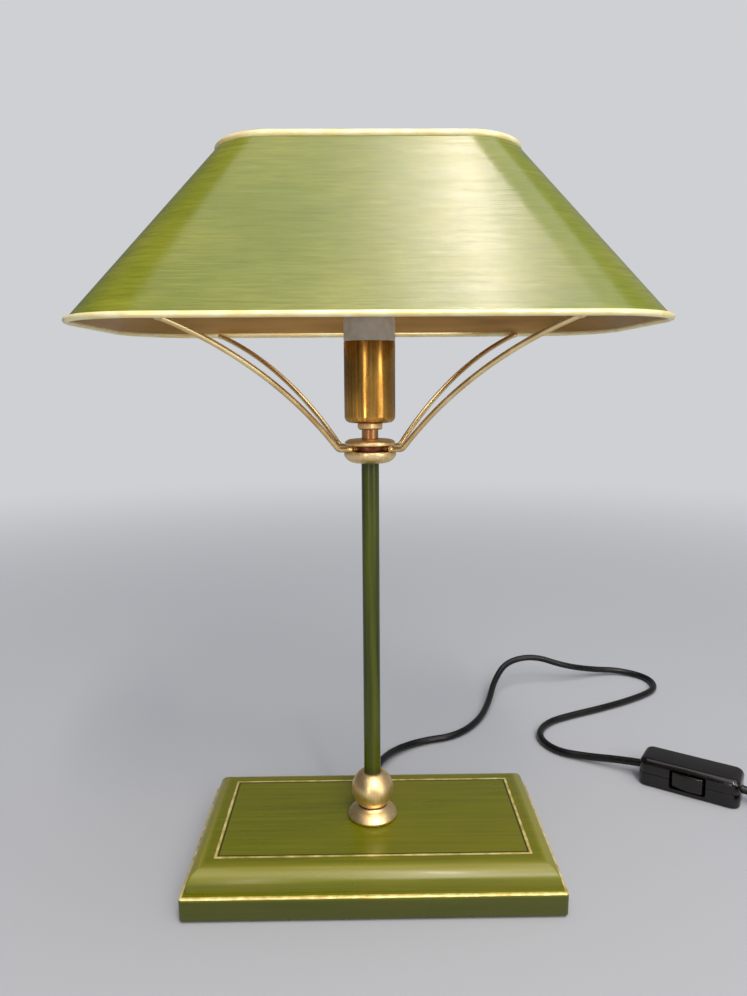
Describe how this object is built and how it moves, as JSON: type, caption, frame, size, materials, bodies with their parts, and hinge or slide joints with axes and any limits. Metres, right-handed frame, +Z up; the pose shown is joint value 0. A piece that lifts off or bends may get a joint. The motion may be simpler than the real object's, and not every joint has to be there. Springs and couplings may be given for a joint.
{
  "type": "table lamp",
  "caption": "Table lamp with an oval sheet-metal shade on wire arms, a slim stem, a moulded wooden base and a corded in-line switch.",
  "frame": {"origin": "bottom centre of the felt pad under the base, below the stem", "axes": "+Z up along the stem, +X along the long side of the base and shade to the right, -Y the front"},
  "size_m": [0.4871, 0.408, 0.409],
  "materials": {
    "green_lacquer_wood": "glossy green lacquer on moulded wood, gold lines",
    "green_lacquer_metal": "glossy hand-brushed green lacquer",
    "gold_paint": "gold paint, satin",
    "brass": "lightly aged, satin",
    "brass_wire": "drawn wire, satin",
    "antique_brass": "antique patina, satin",
    "nickel_brass": "nickel-plated",
    "copper": "bare stranded copper",
    "steel": "rolled plate",
    "zinc_steel": "zinc-plated",
    "pale_plastic": "pale translucent thermoplastic",
    "white_nylon": "moulded nylon",
    "clear_lead": "golden insulated lead",
    "black_pvc": "smooth glossy PVC",
    "black_plastic": "gloss moulded",
    "felt": "dark felt"
  },
  "bodies": {
    "stand": {"base_board": "green_lacquer_wood", "felt_pad": "felt", "ballast_plate_left": "steel", "ballast_plate_right": "steel", "ballast_screws": "zinc_steel", "cord_bush": "black_pvc", "lead_clamp": "white_nylon", "lead_clamp_screws": "zinc_steel", "inner_lead": "clear_lead", "lead_cores": "copper", "stem_tube": "green_lacquer_metal", "stem_washer": "zinc_steel", "stem_nut": "zinc_steel", "foot_flange": "brass", "ball_collar": "brass", "hub_dish": "brass", "hub_disc": "brass", "hub_locknut": "brass", "holder_sleeve": "antique_brass", "holder_nut": "zinc_steel", "centre_contact": "brass", "holder_insert": "pale_plastic", "screw_shell": "brass", "terminals": "brass", "terminal_screws": "zinc_steel", "switch_lower_shell": "black_plastic", "switch_upper_shell": "black_plastic", "switch_rocker_pin": "zinc_steel", "switch_contacts": "brass", "switch_screws": "zinc_steel", "mains_cord_lamp_side": "black_pvc", "mains_cord_coil_side": "black_pvc", "mains_cord_plug_side": "black_pvc", "cord_coil": "black_pvc", "plug_pins": "nickel_brass", "plug_body": "black_plastic"},
    "shade": {"carrier_ring": "brass", "carrier_arm_front_left": "brass_wire", "carrier_arm_front_right": "brass_wire", "carrier_arm_back_left": "brass_wire", "carrier_arm_back_right": "brass_wire", "shade_bottom_rim": "gold_paint", "shade_top_rim": "gold_paint", "shade_skin": "green_lacquer_metal"},
    "switch_rocker": {"switch_rocker": "black_plastic"}
  },
  "joints": [
    {"name": "shade_turn", "type": "hinge", "parent": "stand", "child": "shade", "pos_m": [0, 0, 0.25265], "axis": [0, 0, 1], "continuous": true},
    {"name": "rocker_tilt", "type": "hinge", "parent": "stand", "child": "switch_rocker", "pos_m": [0.22331, 0.06391, 0.0102], "axis": [0, 0, 1], "range_deg": [0, 14]}
  ]
}
